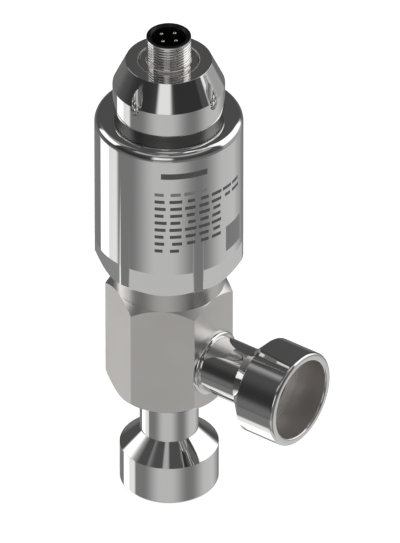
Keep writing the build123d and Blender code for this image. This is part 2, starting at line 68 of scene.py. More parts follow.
CROWN_FLOOR = 100.0             # where the outline of the housing's top begins
CAP_NECK_RADIUS, CAP_FLOOR, CAP_RADIUS, CAP_WALL_TOP = 14.5, 122.1, 15.1, 129.6
CAP_TOP, CAP_TOP_RADIUS, CAP_EDGE_ROUND = 137.2, 11.6, 0.59
CAP_BORE_RADIUS, CAP_BORE_ROUND, CAP_ROOF, CAP_ROOM_RADIUS = 8.1, 0.32, 131.0, 9.0
CAP_FOOT, CAP_FOOT_RADIUS = 113.0, 12.0
FLUTE_RADIUS, FLUTE_CIRCLE, FLUTE_BALL_Z = 1.65, 14.35, 128.65
SHANK_TOP, CONNECTOR_COLLAR_TOP, CONNECTOR_TOP = 136.8, 137.4, 145.0
THREAD_RADIUS, SHELL_BORE_RADIUS, SHELL_TOP_ROUND = 6.0, 5.25, 0.22
COLLAR_RADIUS, COLLAR_ROUND, SHANK_RADIUS, SHANK_ROUND = 6.2, 0.18, 8.0, 0.25
FLANGE_RADIUS, FLANGE_FLOOR = 8.8, 129.5
SEAL_GROOVE_RADIUS, SEAL_GROOVE_FLOOR, SEAL_GROOVE_TOP = 6.78, 133.28, 134.52
SHELL_MIDDLE, SHANK_MIDDLE = 140.0, 134.6  # where the outlines of the upper rounds begin
RIDGE_START, RIDGE_STEP, RIDGE_STEPS = 0.1, 0.055, 127
CUP_RADIUS, CUP_FLOOR, KEY_HALF, KEY_FACE = 4.7, 139.0, 0.5, 4.1
INSERT_RADIUS, INSERT_FLOOR, INSERT_TOP, INSERT_EDGE = 5.2, 127.0, 144.6, 0.05
CONTACT_CIRCLE, CONTACT_TURN, CONTACT_RADIUS = 2.5, -2.5, 0.5
CONTACT_FLOOR, CONTACT_TOP, CONTACT_ROUND, CONTACT_COUNT = 125.0, 144.7, 0.4, 4


# Shader node groups and materials

def new_group(name, inputs, outputs):
    """An empty shader node group with inputs (name, type, value) and outputs (name, type)."""
    group = bpy.data.node_groups.new(name, "ShaderNodeTree")
    for label, kind, value in inputs:
        socket = group.interface.new_socket(label, in_out="INPUT", socket_type=kind)
        if value is not None:
            socket.default_value = value
    for label, kind in outputs:
        group.interface.new_socket(label, in_out="OUTPUT", socket_type=kind)
    return group, group.nodes.new("NodeGroupInput"), group.nodes.new("NodeGroupOutput")


def math_node(tree, operation, first, second=None, third=None, clamp=False):
    """One sum on numbers or sockets, and the socket of its result."""
    node = tree.nodes.new("ShaderNodeMath")
    node.operation = operation
    node.use_clamp = clamp
    for number, value in enumerate((first, second, third)):
        if value is None:
            continue
        if isinstance(value, (int, float)):
            node.inputs[number].default_value = value
        else:
            tree.links.new(value, node.inputs[number])
    return node.outputs[0]


def noise_node(tree, vector, scale, detail=2.0, dimensions="3D", w=None):
    """Noise at a place, or with dimensions 1D and w along a line."""
    node = tree.nodes.new("ShaderNodeTexNoise")
    node.noise_dimensions = dimensions
    node.inputs["Scale"].default_value = scale
    node.inputs["Detail"].default_value = detail
    if vector is not None:
        tree.links.new(vector, node.inputs["Vector"])
    if w is not None:
        tree.links.new(w, node.inputs["W"])
    return node.outputs["Fac"]


RADIUS_SHARE = 0.73


def make_turning_marks():
    """Fine rings left by the lathe: they run round the z axis of the vector that comes in.

    The radius counts too, by RADIUS_SHARE, so that flat faces get rings as well.
    """
    group, entry, out = new_group(
        "turning_marks",
        [("Position", "NodeSocketVector", None), ("Lines per metre", "NodeSocketFloat", 4000.0)],
        [("Marks", "NodeSocketFloat")],
    )
    split = group.nodes.new("ShaderNodeSeparateXYZ")
    group.links.new(entry.outputs["Position"], split.inputs[0])
    squares = math_node(
        group, "ADD",
        math_node(group, "MULTIPLY", split.outputs["X"], split.outputs["X"]),
        math_node(group, "MULTIPLY", split.outputs["Y"], split.outputs["Y"]),
    )
    radius = math_node(group, "SQRT", squares)
    along = math_node(group, "ADD", split.outputs["Z"],
                      math_node(group, "MULTIPLY", radius, RADIUS_SHARE))
    scaled = math_node(group, "MULTIPLY", along, entry.outputs["Lines per metre"])
    fine = noise_node(group, None, 1.0, 3.0, "1D", scaled)
    drift = noise_node(group, entry.outputs["Position"], 60.0, 1.0)
    marks = math_node(group, "MULTIPLY", fine, math_node(group, "ADD", drift, 0.5))
    group.links.new(marks, out.inputs["Marks"])
    return group


def make_handling():
    """Slow patches where the surface was wiped or touched, and a few fine specks."""
    group, entry, out = new_group(
        "handling",
        [("Position", "NodeSocketVector", None), ("Patch scale", "NodeSocketFloat", 45.0)],
        [("Patches", "NodeSocketFloat"), ("Specks", "NodeSocketFloat")],
    )
    patches = group.nodes.new("ShaderNodeTexNoise")
    patches.inputs["Detail"].default_value = 3.0
    group.links.new(entry.outputs["Position"], patches.inputs["Vector"])
    group.links.new(entry.outputs["Patch scale"], patches.inputs["Scale"])
    group.links.new(patches.outputs["Fac"], out.inputs["Patches"])
    specks = noise_node(group, entry.outputs["Position"], 2600.0, 1.0)
    narrow = group.nodes.new("ShaderNodeMapRange")
    narrow.inputs["From Min"].default_value = 0.66
    narrow.inputs["From Max"].default_value = 0.78
    group.links.new(specks, narrow.inputs["Value"])
    group.links.new(narrow.outputs[0], out.inputs["Specks"])
    return group


def make_blasting():
    """The even, fine grain of a bead-blasted face, with a little tone from place to place."""
    group, entry, out = new_group(
        "blasting",
        [("Position", "NodeSocketVector", None), ("Grain scale", "NodeSocketFloat", 5200.0)],
        [("Grain", "NodeSocketFloat"), ("Tone", "NodeSocketFloat")],
    )
    cells = group.nodes.new("ShaderNodeTexVoronoi")
    group.links.new(entry.outputs["Position"], cells.inputs["Vector"])
    group.links.new(entry.outputs["Grain scale"], cells.inputs["Scale"])
    soft = noise_node(group, entry.outputs["Position"], 3000.0, 2.0)
    grain = math_node(
        group, "ADD",
        math_node(group, "MULTIPLY", cells.outputs["Distance"], 0.6),
        math_node(group, "MULTIPLY", soft, 0.4),
    )
    group.links.new(grain, out.inputs["Grain"])
    group.links.new(noise_node(group, entry.outputs["Position"], 90.0, 3.0), out.inputs["Tone"])
    return group


turning_marks, handling, blasting = make_turning_marks(), make_handling(), make_blasting()


def material(name, colour, metal, rough, marks=False, grain=None, side=False,
             spread=0.02, tint=0.0, bump=0.05, depth=0.00001, lines=4000.0):
    """A finish with its own Principled shader. marks or grain give it lathe rings or blasting.

    spread and tint are how far its roughness and its colour vary, bump and depth its relief.
    """
    made = bpy.data.materials.new(name)
    made.use_nodes = True
    tree = made.node_tree
    shader = tree.nodes["Principled BSDF"]
    shader.inputs["Metallic"].default_value = metal
    place = tree.nodes.new("ShaderNodeTexCoord").outputs["Object"]
    if side:
        # Moves the side end's axis onto z, so that its rings run round it
        turn = tree.nodes.new("ShaderNodeMapping")
        turn.inputs["Location"].default_value = (-PORT_Z * MM, 0, 0)
        turn.inputs["Rotation"].default_value = (0, math.pi / 2, 0)
        tree.links.new(place, turn.inputs["Vector"])
        place = turn.outputs["Vector"]
    life = tree.nodes.new("ShaderNodeGroup")
    life.node_tree = handling
    tree.links.new(place, life.inputs["Position"])
    vary, height = life.outputs["Patches"], None
    if marks:
        rings = tree.nodes.new("ShaderNodeGroup")
        rings.node_tree = turning_marks
        rings.inputs["Lines per metre"].default_value = lines
        tree.links.new(place, rings.inputs["Position"])
        height = rings.outputs["Marks"]
        vary = math_node(tree, "ADD", math_node(tree, "MULTIPLY", vary, 0.5),
                         math_node(tree, "MULTIPLY", height, 0.5))
    if grain:
        blast = tree.nodes.new("ShaderNodeGroup")
        blast.node_tree = blasting
        blast.inputs["Grain scale"].default_value = grain
        tree.links.new(place, blast.inputs["Position"])
        height = blast.outputs["Grain"]
        vary = blast.outputs["Tone"]
    if height is None:
        height = life.outputs["Specks"]
    rough_range = tree.nodes.new("ShaderNodeMapRange")
    rough_range.inputs["From Min"].default_value = 0.3
    rough_range.inputs["From Max"].default_value = 0.7
    rough_range.inputs["To Min"].default_value = max(0.0, rough - spread)
    rough_range.inputs["To Max"].default_value = rough + spread
    tree.links.new(vary, rough_range.inputs["Value"])
    tree.links.new(rough_range.outputs[0], shader.inputs["Roughness"])
    if tint:
        # Sockets 6 and 7 and output 2 are the mix node's colours
        mix = tree.nodes.new("ShaderNodeMix")
        mix.data_type = "RGBA"
        mix.inputs[6].default_value = (*[c * (1 - tint) for c in colour], 1)
        mix.inputs[7].default_value = (*[min(1, c * (1 + tint)) for c in colour], 1)
        tree.links.new(vary, mix.inputs[0])
        tree.links.new(mix.outputs[2], shader.inputs["Base Color"])
    else:
        shader.inputs["Base Color"].default_value = (*colour, 1)
    relief = tree.nodes.new("ShaderNodeBump")
    relief.inputs["Strength"].default_value = bump
    relief.inputs["Distance"].default_value = depth
    tree.links.new(height, relief.inputs["Height"])
    tree.links.new(relief.outputs["Normal"], shader.inputs["Normal"])
    return made


GREY = (0.76, 0.76, 0.755)
BORED = (0.66, 0.63, 0.605)
FACED = (0.87, 0.855, 0.845)
BLACK = (0.006, 0.006, 0.006)
polished = material("polished_steel", GREY, 1, 0.035, marks=True, spread=0.015, tint=0.02,
                    bump=0.02)
polished_side = material("polished_steel_side", GREY, 1, 0.035, marks=True, side=True,
                         spread=0.015, tint=0.02, bump=0.03)
# Painted shade: the cap's neck is made dark to stand for the shadow in the gap under the cap's
# overhang
turned_neck = material("turned_neck", (0.20, 0.20, 0.20), 1, 0.32, marks=True, spread=0.04,
                       tint=0.04)
bored = material("bored_steel", BORED, 1, 0.46, marks=True, spread=0.04, tint=0.04)
bored_side = material("bored_steel_side", BORED, 1, 0.46, marks=True, side=True, spread=0.04,
                      tint=0.04)
step_face = material("faced_step", FACED, 0.7, 0.28, marks=True, spread=0.04, tint=0.03)
step_face_side = material("faced_step_side", FACED, 0.7, 0.28, marks=True, side=True,
                          spread=0.04, tint=0.03)
# Painted highlight: a white, non-metal finish on thin edge rounds, so that they show as bright
# lines under any light
bright_edge = material("bright_edge", (1.0, 0.99, 0.98), 0.0, 0.22, marks=True, spread=0.04)
blasted = material("blasted_steel", (0.70, 0.675, 0.655), 1, 0.30, grain=5200.0, spread=0.03,
                   tint=0.02, bump=0.15)
connector_steel = material("connector_steel", (0.76, 0.73, 0.715), 1, 0.12, marks=True,
                           spread=0.02, tint=0.01, bump=0.015)
dark_rim = material("blackened_rim", BLACK, 0, 0.38, grain=2600.0, spread=0.06, bump=0.1)
black_plastic = material("moulded_black", BLACK, 0, 0.38, grain=2600.0, spread=0.06, bump=0.1)
contact_metal = material("contact_plating", (0.86, 0.83, 0.76), 1, 0.22, marks=True,
                         spread=0.04, tint=0.03)
ink = material("marking_ink", (0.075, 0.075, 0.075), 0, 0.5, grain=3500.0, spread=0.08)
pale_ink = material("pale_marking", (0.20, 0.20, 0.20), 0, 0.5, grain=3500.0, spread=0.08)
turned = material("turned_steel", (0.62, 0.61, 0.60), 1, 0.22, marks=True, spread=0.05,
                  tint=0.04, bump=0.2)
brass = material("turned_brass", (0.72, 0.56, 0.28), 1, 0.22, marks=True, spread=0.05,
                 tint=0.05, bump=0.2)
rubber = material("seal_rubber", (0.02, 0.02, 0.02), 0, 0.6, grain=1800.0, spread=0.08, bump=0.2)
copper = material("gasket_copper", (0.30, 0.255, 0.225), 1, 0.5, grain=2200.0, spread=0.08,
                  tint=0.08)
white_seal = material("white_seal", (0.82, 0.82, 0.79), 0, 0.45, grain=2000.0, spread=0.05)
sheet_steel = material("pressed_sheet", (0.45, 0.45, 0.46), 1, 0.35, grain=1500.0, spread=0.08,
                       tint=0.06)
bobbin_plastic = material("bobbin_plastic", (0.72, 0.69, 0.58), 0, 0.45, grain=1500.0,
                          spread=0.06, tint=0.03)
winding = material("wound_copper", (0.66, 0.28, 0.14), 0.8, 0.3, marks=True, spread=0.06,
                   tint=0.2, bump=0.8, depth=0.00008, lines=5200.0)
ferrite = material("magnet_ferrite", (0.07, 0.07, 0.075), 0.3, 0.5, grain=2600.0, spread=0.08,
                   tint=0.1, bump=0.3)
sleeve = material("lead_sleeve", (0.42, 0.03, 0.025), 0, 0.4, grain=1800.0, spread=0.06)


# Shapes

def rounded(corners, steps=8):
    """A closed outline from (radius, level, round) corners, with guide points beside each arc."""
    outline = []
    count = len(corners)
    for number, (x, y, size) in enumerate(corners):
        here = Vector((x, y))
        before = Vector(corners[number - 1][:2]) - here
        after = Vector(corners[(number + 1) % count][:2]) - here
        if size <= 0:
            outline.append((x, y))
            continue
        angle = before.angle(after)
        reach = size / math.tan(angle / 2)
        first, last = before.normalized(), after.normalized()
        start, end = here + first * reach, here + last * reach
        centre = here + (first + last).normalized() * (size / math.sin(angle / 2))
        outline.append(tuple(start + first * GUIDE))
        sweep = math.pi - angle
        parts = max(3, math.ceil(steps * sweep / (math.pi / 2)))
        spoke = start - centre
        way = 1 if spoke.cross(end - centre) > 0 else -1
        for part in range(parts + 1):
            turn = way * sweep * part / parts
            outline.append((
                centre.x + spoke.x * math.cos(turn) - spoke.y * math.sin(turn),
                centre.y + spoke.x * math.sin(turn) + spoke.y * math.cos(turn),
            ))
        outline.append(tuple(end + last * GUIDE))
    return outline


def shade(mesh):
    """Smooth shading with crisp edges where the surface turns sharply."""
    mesh.shade_smooth()
    mesh.set_sharp_from_angle(angle=SHARP)


def lathe(name, columns, zones=None, place=None):
    """A closed piece from sections (angle, [(radius, level), ...]) round the z axis.

    zones gives the material number of each section segment; place moves it from its own axis.
    """
    shape = bmesh.new()
    rings = []
    for angle, section in columns:
        rings.append([
            shape.verts.new((r * math.cos(angle) * MM, r * math.sin(angle) * MM, z * MM))
            for r, z in section
        ])
    rows = len(rings[0])
    for number, ring in enumerate(rings):
        following = rings[(number + 1) % len(rings)]
        for row in range(rows):
            face = shape.faces.new((
                ring[row], following[row], following[(row + 1) % rows], ring[(row + 1) % rows],
            ))
            face.material_index = zones[row] if zones else 0
    bmesh.ops.remove_doubles(shape, verts=shape.verts, dist=WELD)
    bmesh.ops.dissolve_degenerate(shape, edges=shape.edges, dist=WELD)
    bmesh.ops.recalc_face_normals(shape, faces=shape.faces)
    mesh = bpy.data.meshes.new(name)
    shape.to_mesh(mesh)
    shape.free()
    if place is not None:
        mesh.transform(place)
    shade(mesh)
    made = bpy.data.objects.new(name, mesh)
    bpy.context.scene.collection.objects.link(made)
    return made


def even_angles(count=TURN):
    """Directions evenly round a full turn."""
    return [2 * math.pi * number / count for number in range(count)]


def spin(name, section, zones=None, place=None, count=TURN):
    """A piece of revolution: the same section in each direction."""
    return lathe(name, [(angle, section) for angle in even_angles(count)], zones, place)


def keep_result(piece):
    """Gives the piece the mesh that its modifiers make, and takes the modifiers off."""
    bpy.context.view_layer.update()
    result = bpy.data.meshes.new_from_object(
        piece.evaluated_get(bpy.context.evaluated_depsgraph_get())
    )
    piece.modifiers.clear()
    old = piece.data
    result.name = old.name
    piece.data = result
    bpy.data.meshes.remove(old)


def take_away(piece, *cutters):
    """Cuts each cutter out of the piece and puts the result in the piece's mesh."""
    for cutter in cutters:
        cut = piece.modifiers.new("cut", "BOOLEAN")
        cut.operation = "DIFFERENCE"
        cut.solver = "EXACT"
        cut.object = cutter
    keep_result(piece)
    for cutter in cutters:
        bpy.data.objects.remove(cutter)
    shade(piece.data)


def dress(piece, materials, slot, body, *replaced):
    """Gives a piece its finishes and the body that it rides on. The slot argument is not used."""
    for number, finish in enumerate(materials):
        if number < len(piece.data.materials):
            piece.data.materials[number] = finish
        else:
            piece.data.materials.append(finish)
    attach(piece, body)
    if replaced:
        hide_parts(*replaced)


def hexagon_reach(angle, face):
    """Distance from the axis to the side of a hexagon with one face towards +X."""
    return face / math.cos((angle + math.pi / 6) % (math.pi / 3) - math.pi / 6)


# Solder ends: the side one is the bottom one turned onto the side port
onto_port = Matrix((
    (0, 0, -1, OUTLET_REACH * MM), (0, 1, 0, 0), (1, 0, 0, PORT_Z * MM), (0, 0, 0, 1),
))


def solder_end(name, length, place, finishes, node):
    """A socket, cone and neck. finishes are for its outside, its bores and the socket's step."""
    cone_end = SOCKET_LENGTH + CONE_LENGTH
    section = rounded([
        (SOCKET_RADIUS, 0, RIM_INNER_ROUND),
        (SOCKET_OUTER, 0, RIM_ROUND),
        (SOCKET_OUTER, SOCKET_LENGTH, EDGE),
        (NECK_RADIUS, cone_end, EDGE),
        (NECK_RADIUS, length, 0.0),
        (PASSAGE_RADIUS, length, 0.0),
        (PASSAGE_RADIUS, SOCKET_DEPTH, 0.0),
        (SOCKET_RADIUS, SOCKET_DEPTH, 0.0),
    ])
    # The last three segments are the passage, the step and the socket's wall
    zones = [0] * (len(section) - 3) + [1, 2, 1]
    dress(spin(name, section, zones, place), finishes, "polished_steel", "valve", node)


body_face = OUTLET_REACH - HEX_FACE        # hexagon's face, from the side rim
neck_foot = body_face + NECK_SEAT
solder_end("bottom_end", BODY_FLOOR + NECK_SEAT, None, (polished, bored, step_face),
           "inlet_nipple")
solder_end("side_end", neck_foot, onto_port, (polished_side, bored_side, step_face_side),
           "outlet_nipple")


def weld_bead(name, root, place, finish, node):
    """A rounded ring where a neck meets the body; root is the body's face."""
    section = rounded([
        (NECK_RADIUS, root - BEAD_WIDTH, 0.0),
        (NECK_RADIUS + BEAD_WIDTH, root - BEAD_WIDTH, BEAD_ROUND),
        (NECK_RADIUS + BEAD_WIDTH, root, 0.0),
        (NECK_RADIUS, root, 0.0),
    ], steps=12)
    dress(spin(name, section, None, place), (finish,), "polished_steel", "valve", node)


weld_bead("bottom_weld", BODY_FLOOR, None, polished, "inlet_weld")
weld_bead("side_weld", body_face, onto_port, polished_side, "outlet_weld")

# Hexagon body, with the side port cut into the face towards +X
chamber_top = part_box("guide_bush")[0].z / MM


def body_section(angle):
    """The body's section in one direction: the hexagon's corners are turned to 45 degrees."""
    reach = hexagon_reach(angle, HEX_FACE)
    rise = reach - HEX_FACE
    return [
        (NECK_RADIUS, BODY_FLOOR), (HEX_FACE, BODY_FLOOR), (reach, BODY_FLOOR + rise),
        (reach, HEX_TOP - rise), (HEX_FACE, HEX_TOP), (HEX_FACE, COLLAR_TOP),
        (SPIGOT_RADIUS, COLLAR_TOP), (SPIGOT_RADIUS, SPIGOT_TOP - SPIGOT_CHAMFER),
        (SPIGOT_RADIUS - SPIGOT_CHAMFER, SPIGOT_TOP), (KEY_SEAT_RADIUS, SPIGOT_TOP),
        (KEY_SEAT_RADIUS, SPIGOT_TOP - KEY_SEAT_DEPTH),
        (GLAND_RADIUS, SPIGOT_TOP - KEY_SEAT_DEPTH), (GLAND_RADIUS, chamber_top),
        (CHAMBER_RADIUS, chamber_top), (CHAMBER_RADIUS, POCKET_FLOOR),
        (PASSAGE_RADIUS, POCKET_FLOOR), (PASSAGE_RADIUS, BODY_FLOOR + NECK_SEAT),
        (NECK_RADIUS, BODY_FLOOR + NECK_SEAT),
    ]


body = lathe("hexagon_body", [(angle, body_section(angle)) for angle in even_angles()])
port_cutter = spin("port_cutter", [
    (0, PORT_CUT_START), (NECK_RADIUS, PORT_CUT_START), (NECK_RADIUS, neck_foot),
    (PASSAGE_RADIUS, neck_foot), (PASSAGE_RADIUS, OUTLET_REACH - PORT_CUT_END),
    (0, OUTLET_REACH - PORT_CUT_END),
], place=onto_port, count=192)
take_away(body, port_cutter)
dress(body, (blasted,), "blasted_steel", "valve", "valve_body")

# Actuator housing: round, with six wrench flats at its foot
FLAT_STEPS, LAND_STEPS = 52, 10
flat_half = math.acos(WRENCH_FACE / HOUSING_RADIUS)
land = math.pi / 3 - 2 * flat_half         # round strip between two flats
housing_angles = []
for sector in range(6):
    middle = sector * math.pi / 3
    housing_angles += [middle - flat_half + 2 * flat_half * step / FLAT_STEPS
                       for step in range(FLAT_STEPS + 1)]
    housing_angles += [middle + flat_half + land * step / LAND_STEPS
                       for step in range(1, LAND_STEPS)]

ring_seat_floor, spigot_room_top = HOUSING_TOP - RING_SEAT_DEPTH, SPIGOT_TOP + SPIGOT_ROOM
housing_inner = [
    (RING_SEAT_RADIUS, HOUSING_TOP), (RING_SEAT_RADIUS, ring_seat_floor),
    (ROOF_BORE_RADIUS, ring_seat_floor), (ROOF_BORE_RADIUS, ROOF_FLOOR),
    (LEAD_ROOM_RADIUS, ROOF_FLOOR), (LEAD_ROOM_RADIUS, MOTOR_LEDGE),
    (MOTOR_ROOM_RADIUS, MOTOR_LEDGE), (MOTOR_ROOM_RADIUS, spigot_room_top),
    (SPIGOT_BORE_RADIUS, spigot_room_top),
]
housing_crown = rounded([
    (HOUSING_RADIUS, CROWN_FLOOR, 0.0), (HOUSING_RADIUS, HOUSING_TOP, HOUSING_ROUND),
    (RING_SEAT_RADIUS, HOUSING_TOP, 0.0), (RING_SEAT_RADIUS, CROWN_FLOOR, 0.0),
], steps=16)[1:-2]


def housing_section(angle):
    """The housing's section in one direction, cut back at the foot where a wrench flat lies."""
    reach = min(HOUSING_RADIUS, hexagon_reach(angle, WRENCH_FACE))
    foot = HOUSING_RADIUS - HOUSING_CHAMFER
    ledge = HOUSING_FLOOR + WRENCH_HEIGHT
    return [
        (SPIGOT_BORE_RADIUS, HOUSING_FLOOR), (foot, HOUSING_FLOOR),
        (reach, HOUSING_FLOOR + reach - foot), (reach, ledge), (HOUSING_RADIUS, ledge),
        *housing_crown, *housing_inner,
    ]


housing = lathe("motor_housing", [(angle, housing_section(angle)) for angle in housing_angles])
dress(housing, (polished,), "polished_steel", "valve", "actuator_housing")

# Terminal cap with its four ball-ended flutes
cap_section = rounded([
    (CAP_NECK_RADIUS, HOUSING_TOP, 0.0),
    (CAP_NECK_RADIUS, CAP_FLOOR, 0.0),
    (CAP_RADIUS, CAP_FLOOR, CAP_EDGE_ROUND),
    (CAP_RADIUS, CAP_WALL_TOP, EDGE),
    (CAP_TOP_RADIUS, CAP_TOP, EDGE),
    (CAP_BORE_RADIUS, CAP_TOP, CAP_BORE_ROUND),
    (CAP_BORE_RADIUS, CAP_ROOF, 0.0),
    (CAP_ROOM_RADIUS, CAP_ROOF, 0.0),
    (CAP_ROOM_RADIUS, CAP_FOOT, 0.0),
    (CAP_FOOT_RADIUS, CAP_FOOT, 0.0),
    (CAP_FOOT_RADIUS, HOUSING_TOP, 0.0),
])
# The round at the bore gets a painted highlight; the first segment, the neck, gets painted shade,
# dark and soft
bore_edge = [CAP_BORE_RADIUS - GUIDE < r < CAP_BORE_RADIUS + CAP_BORE_ROUND + GUIDE / 2
             and z > CAP_TOP - CAP_BORE_ROUND - 2 * GUIDE for r, z in cap_section]
cap_zones = [int(bore_edge[row] and bore_edge[(row + 1) % len(bore_edge)])
             for row in range(len(bore_edge))]
cap_zones[0] = 2
cap = spin("terminal_cap_cone", cap_section, cap_zones, count=720)
BALL_STEPS, FLUTE_COUNT, PAST_CAP = 24, 4, 1.0
flute_outline = [(0, FLUTE_BALL_Z - FLUTE_RADIUS)] + [
    (FLUTE_RADIUS * math.sin(math.pi / 2 * step / BALL_STEPS),
     FLUTE_BALL_Z - FLUTE_RADIUS * math.cos(math.pi / 2 * step / BALL_STEPS))
    for step in range(1, BALL_STEPS + 1)
] + [(FLUTE_RADIUS, CAP_TOP + PAST_CAP), (0, CAP_TOP + PAST_CAP)]
cutters = []
for number in range(FLUTE_COUNT):
    turned_by = Matrix.Rotation(number * 2 * math.pi / FLUTE_COUNT, 4, "Z")
    shift = turned_by @ Matrix.Translation((FLUTE_CIRCLE * MM, 0, 0))
    cutters.append(spin(f"flute_cutter_{number}", flute_outline, place=shift, count=96))
take_away(cap, *cutters)
dress(cap, (polished, bright_edge, turned_neck), "polished_steel", "valve", "terminal_cap")


# Connector shell: Geometry Nodes press the helical thread into its outside

def geometry_tree(name, floats, whole=(), takes_geometry=False):
    """An empty Geometry Nodes tree with named inputs (name, value), and its two end nodes."""
    tree = bpy.data.node_groups.new(name, "GeometryNodeTree")
    if takes_geometry:
        tree.interface.new_socket("Geometry", in_out="INPUT", socket_type="NodeSocketGeometry")
    tree.interface.new_socket("Geometry", in_out="OUTPUT", socket_type="NodeSocketGeometry")
    for kind, sockets in (("NodeSocketFloat", floats), ("NodeSocketInt", whole)):
        for label, value in sockets:
            socket = tree.interface.new_socket(label, in_out="INPUT", socket_type=kind)
            socket.default_value = value
    return tree, tree.nodes.new("NodeGroupInput"), tree.nodes.new("NodeGroupOutput")


def close_tree(tree, result, out, *paints):
    """Makes the result real and lays on each finish, everywhere or where its mask says."""
    real = tree.nodes.new("GeometryNodeRealizeInstances")
    tree.links.new(result, real.inputs[0])
    flow = real.outputs[0]
    for finish, mask in paints:
        paint = tree.nodes.new("GeometryNodeSetMaterial")
        paint.inputs["Material"].default_value = finish
        tree.links.new(flow, paint.inputs["Geometry"])
        if mask is not None:
            tree.links.new(mask, paint.inputs["Selection"])
        flow = paint.outputs[0]
    tree.links.new(flow, out.inputs[0])


def run_tree(piece, tree, values):
    """Puts the tree on the piece with its inputs set, and keeps only the mesh that it makes."""
    maker = piece.modifiers.new(tree.name, "NODES")
    maker.node_group = tree
    for item in tree.interface.items_tree:
        if item.item_type == "SOCKET" and item.in_out == "INPUT" and item.name in values:
            maker[item.identifier] = values[item.name]
    keep_result(piece)


THREAD = {
    "Pitch": 0.000825, "Depth": 0.00037, "First level": 0.1376, "Last level": 0.1443,
    "Run-out": 0.0005, "Outer radius": 0.006, "Dark from level": 0.14475,
    "Edge level": 0.13725, "Edge width": 0.00018,
}
FLANK, ROOT_SOFTNESS = 3.2, 0.15            # how steep and how rounded each groove is
WALL_SLACK, COLLAR_SLACK = 0.00005, 0.00003


def thread_tree():
    """Presses a helical groove into the wall at the outer radius, paints the rim dark and paints
    a highlight on the collar's edge.
    """
    tree, entry, out = geometry_tree("screw_thread", THREAD.items(), takes_geometry=True)
    given = entry.outputs
    put = tree.nodes.new("GeometryNodeSetPosition")
    position = tree.nodes.new("GeometryNodeInputPosition").outputs[0]
    split = tree.nodes.new("ShaderNodeSeparateXYZ")
    tree.links.new(position, split.inputs[0])
    x, y, z = split.outputs
    angle = math_node(tree, "ARCTAN2", y, x)
    turns = math_node(tree, "SUBTRACT", math_node(tree, "DIVIDE", z, given["Pitch"]),
                      math_node(tree, "DIVIDE", angle, 2 * math.pi))
    wave = math_node(tree, "PINGPONG", turns, 0.5)
    groove = math_node(tree, "SMOOTH_MIN", math_node(tree, "MULTIPLY", wave, FLANK), 1.0,
                       ROOT_SOFTNESS)
    groove = math_node(tree, "SUBTRACT", 1.0, groove, clamp=True)
    low = math_node(tree, "DIVIDE", math_node(tree, "SUBTRACT", z, given["First level"]),
                    given["Run-out"], clamp=True)
    high = math_node(tree, "DIVIDE", math_node(tree, "SUBTRACT", given["Last level"], z),
                     given["Run-out"], clamp=True)
    radius = math_node(tree, "SQRT", math_node(
        tree, "ADD", math_node(tree, "MULTIPLY", x, x), math_node(tree, "MULTIPLY", y, y)))
    outside = math_node(tree, "GREATER_THAN", radius,
                        math_node(tree, "SUBTRACT", given["Outer radius"], WALL_SLACK))
    depth = math_node(tree, "MULTIPLY", given["Depth"], groove)
    for part in (low, high, outside):
        depth = math_node(tree, "MULTIPLY", depth, part)
    share = math_node(tree, "SUBTRACT", 1.0, math_node(tree, "DIVIDE", depth, radius))
    join = tree.nodes.new("ShaderNodeCombineXYZ")
    tree.links.new(math_node(tree, "MULTIPLY", x, share), join.inputs[0])
    tree.links.new(math_node(tree, "MULTIPLY", y, share), join.inputs[1])
    tree.links.new(z, join.inputs[2])
    tree.links.new(given["Geometry"], put.inputs["Geometry"])
    tree.links.new(join.outputs[0], put.inputs["Position"])
    # Painted highlight: a thin band on the collar's round edge, at the edge level
    beside = math_node(tree, "COMPARE", z, given["Edge level"], given["Edge width"])
    beyond = math_node(tree, "GREATER_THAN", radius,
                       math_node(tree, "ADD", given["Outer radius"], COLLAR_SLACK))
    at_edge = math_node(tree, "MULTIPLY", beside, beyond)
    at_rim = math_node(tree, "GREATER_THAN", z, given["Dark from level"])
    close_tree(tree, put.outputs[0], out, (connector_steel, None), (bright_edge, at_edge),
               (dark_rim, at_rim))
    return tree


def shell_profile():
    """The shell's section: fine steps up the thread so that the ridges can be pressed in."""
    ridge_floor = CONNECTOR_COLLAR_TOP + RIDGE_START
    ridge_steps = [(THREAD_RADIUS, ridge_floor + RIDGE_STEP * step)
                   for step in range(RIDGE_STEPS)]
    top = rounded([
        (THREAD_RADIUS, SHELL_MIDDLE, 0.0), (THREAD_RADIUS, CONNECTOR_TOP, SHELL_TOP_ROUND),
        (SHELL_BORE_RADIUS, CONNECTOR_TOP, 0.0), (SHELL_BORE_RADIUS, SHELL_MIDDLE, 0.0),
    ])[1:-1]
    lower = [
        (SHELL_BORE_RADIUS, FLANGE_FLOOR), (FLANGE_RADIUS, FLANGE_FLOOR),
        (FLANGE_RADIUS, CAP_ROOF), (SHANK_RADIUS, CAP_ROOF),
        (SHANK_RADIUS, SEAL_GROOVE_FLOOR), (SEAL_GROOVE_RADIUS, SEAL_GROOVE_FLOOR),
        (SEAL_GROOVE_RADIUS, SEAL_GROOVE_TOP), (SHANK_RADIUS, SEAL_GROOVE_TOP),
    ]
    brim = rounded([
        (SHANK_RADIUS, SHANK_MIDDLE, 0.0), (SHANK_RADIUS, SHANK_TOP, SHANK_ROUND),
        (COLLAR_RADIUS, SHANK_TOP, 0.0), (COLLAR_RADIUS, CONNECTOR_COLLAR_TOP, COLLAR_ROUND),
        (THREAD_RADIUS, CONNECTOR_COLLAR_TOP, 0.0), (0.0, SHELL_MIDDLE, 0.0),
    ])[1:-1]
    return lower + brim + ridge_steps + top


shell = spin("threaded_shell", shell_profile(), count=256)
shell_finishes = (connector_steel, dark_rim, bright_edge)
for finish in shell_finishes:
    shell.data.materials.append(finish)
run_tree(shell, thread_tree(), THREAD)
shade(shell.data)
dress(shell, shell_finishes, "connector_steel", "valve", "connector_shell")

